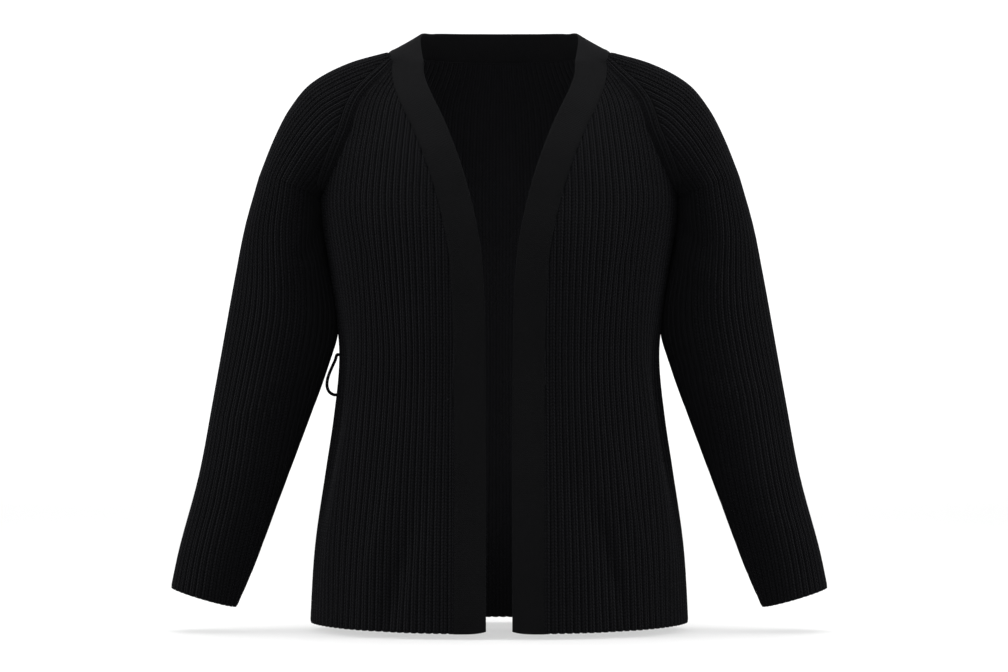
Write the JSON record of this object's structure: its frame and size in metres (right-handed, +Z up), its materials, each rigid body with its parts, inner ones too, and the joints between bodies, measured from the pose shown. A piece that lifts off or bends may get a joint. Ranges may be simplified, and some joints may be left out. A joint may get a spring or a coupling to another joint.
{
  "type": "knit jacket, open-fronted raglan cardigan in rib",
  "caption": "Long-sleeved open-fronted rib-knit cardigan with raglan sleeves, a plain front and neck band and a belt loop at the side, filled out as worn.",
  "frame": {"origin": "midway between the two shoulder points, at shoulder height, where the wearer's shoulders hold the garment", "axes": "+Z up, -Y to the front, +X to the wearer's left"},
  "size_m": [0.734, 0.2588, 0.6675],
  "materials": {
    "rib_knit": "black wool-like yarn in a deep fisherman's rib, matt with a faint haze of fibre",
    "band_knit": "black fine plain knit, matt, a little smoother and lighter than the rib"
  },
  "bodies": {
    "root": {"back": "rib_knit", "front_left": "rib_knit", "front_right": "rib_knit", "sleeve_left": "rib_knit", "sleeve_right": "rib_knit", "front_and_neck_band": "band_knit", "belt_loop": "band_knit"}
  },
  "joints": []
}
